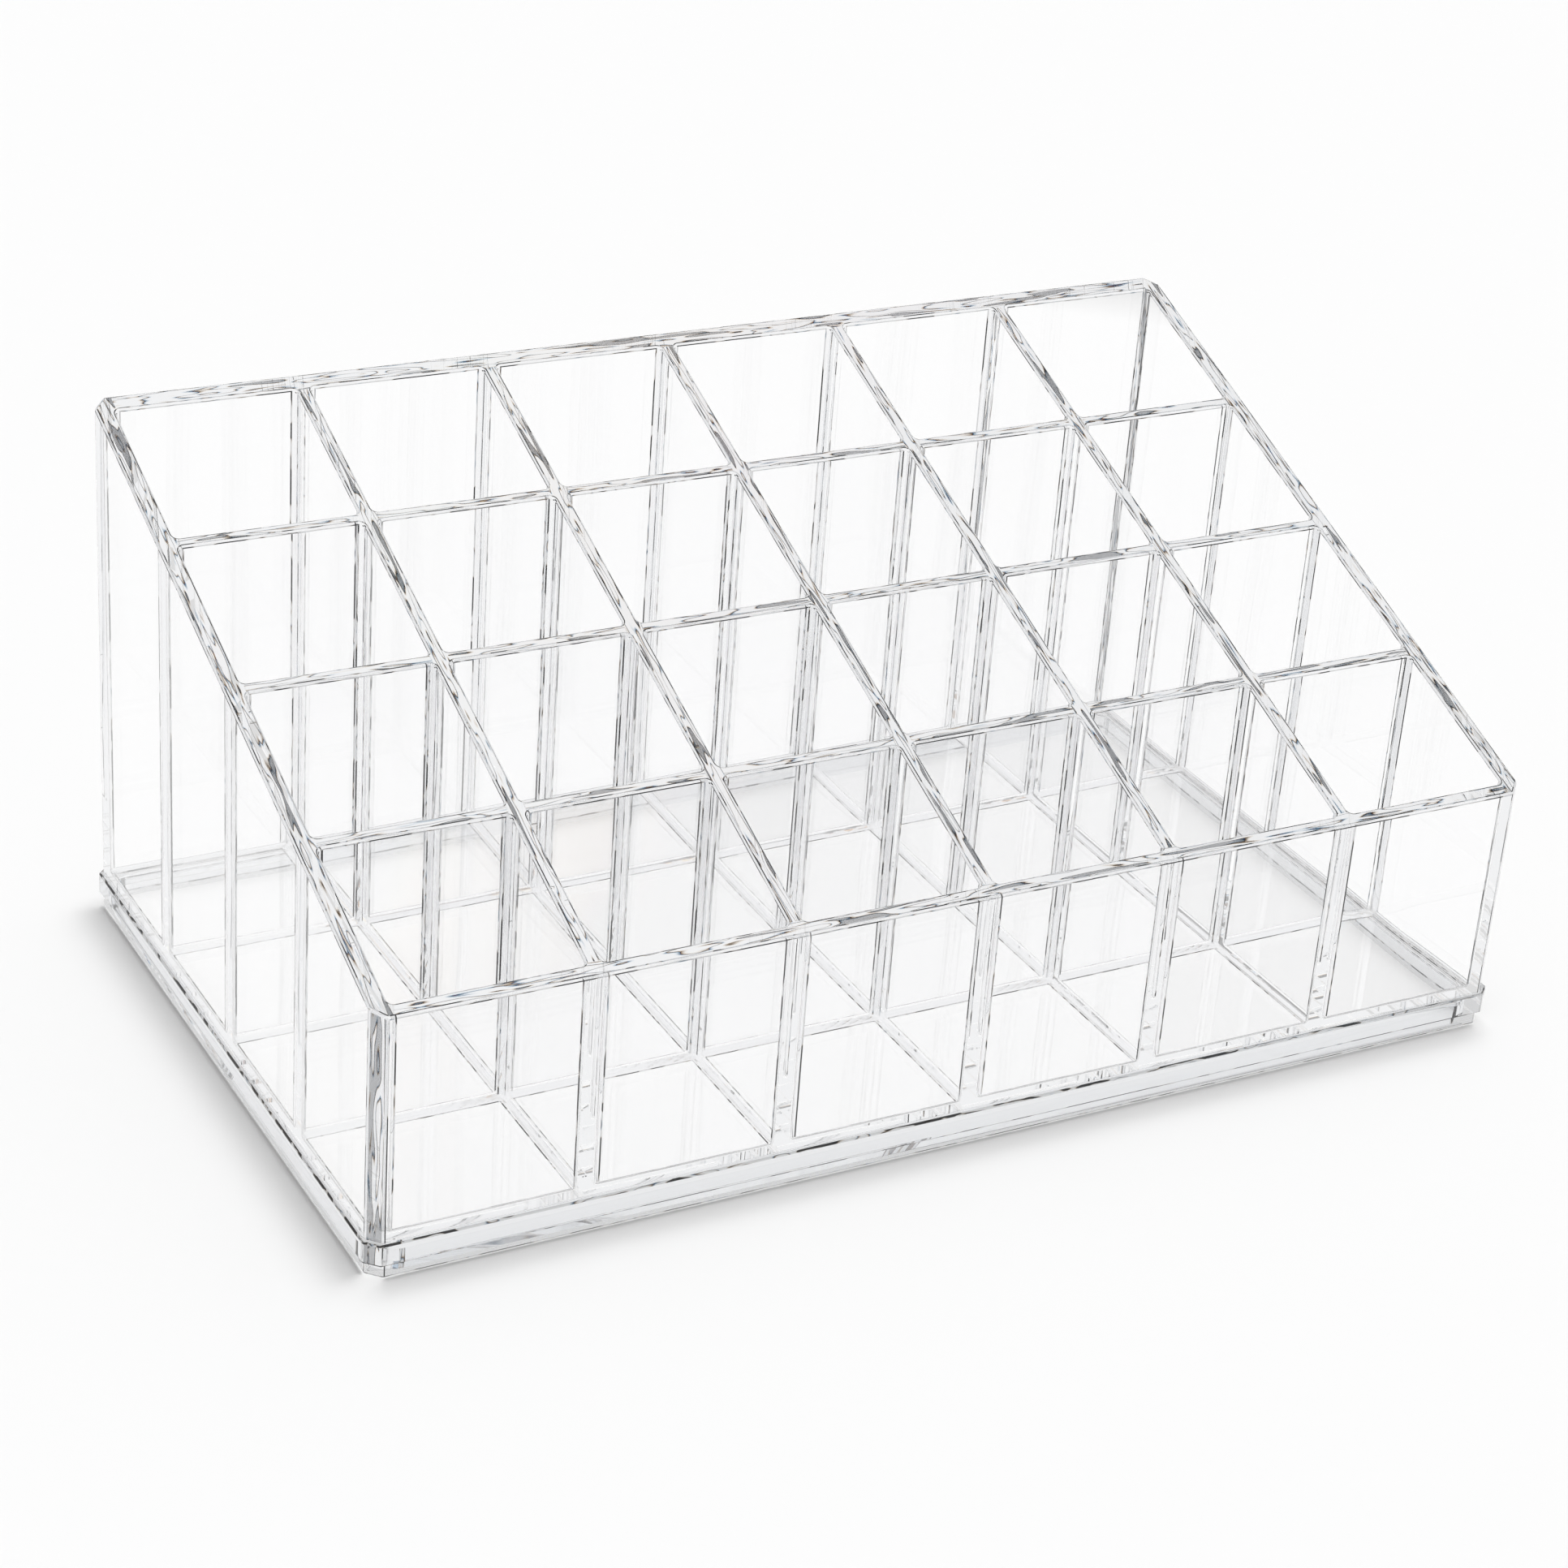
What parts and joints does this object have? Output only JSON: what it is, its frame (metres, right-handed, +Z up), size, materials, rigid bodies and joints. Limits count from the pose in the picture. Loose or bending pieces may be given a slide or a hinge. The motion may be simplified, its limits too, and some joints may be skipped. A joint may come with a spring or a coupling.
{
  "type": "vanity organizer",
  "caption": "Clear rectangular vanity organizer: an open grid of upright cells under a rim that slopes from a high back to a low front, on a hollow stepped plinth.",
  "frame": {"origin": "centre of the footprint, on the surface the organizer stands on", "axes": "+X to the right seen from the low front, +Y from the low front to the high back, +Z up"},
  "size_m": [0.235, 0.1424, 0.1055],
  "materials": {
    "clear_plastic": "clear, colourless, glossy"
  },
  "bodies": {
    "root": {"floor_plate": "clear_plastic", "front_wall": "clear_plastic", "back_wall": "clear_plastic", "side_wall_left": "clear_plastic", "side_wall_right": "clear_plastic", "base_strip_front": "clear_plastic", "base_strip_back": "clear_plastic", "base_strip_left": "clear_plastic", "base_strip_right": "clear_plastic", "long_divider_1": "clear_plastic", "long_divider_2": "clear_plastic", "long_divider_3": "clear_plastic", "long_divider_4": "clear_plastic", "long_divider_5": "clear_plastic", "cross_divider_1_1": "clear_plastic", "cross_divider_1_2": "clear_plastic", "cross_divider_1_3": "clear_plastic", "cross_divider_1_4": "clear_plastic", "cross_divider_1_5": "clear_plastic", "cross_divider_1_6": "clear_plastic", "cross_divider_2_1": "clear_plastic", "cross_divider_2_2": "clear_plastic", "cross_divider_2_3": "clear_plastic", "cross_divider_2_4": "clear_plastic", "cross_divider_2_5": "clear_plastic", "cross_divider_2_6": "clear_plastic", "cross_divider_3_1": "clear_plastic", "cross_divider_3_2": "clear_plastic", "cross_divider_3_3": "clear_plastic", "cross_divider_3_4": "clear_plastic", "cross_divider_3_5": "clear_plastic", "cross_divider_3_6": "clear_plastic"}
  },
  "joints": []
}
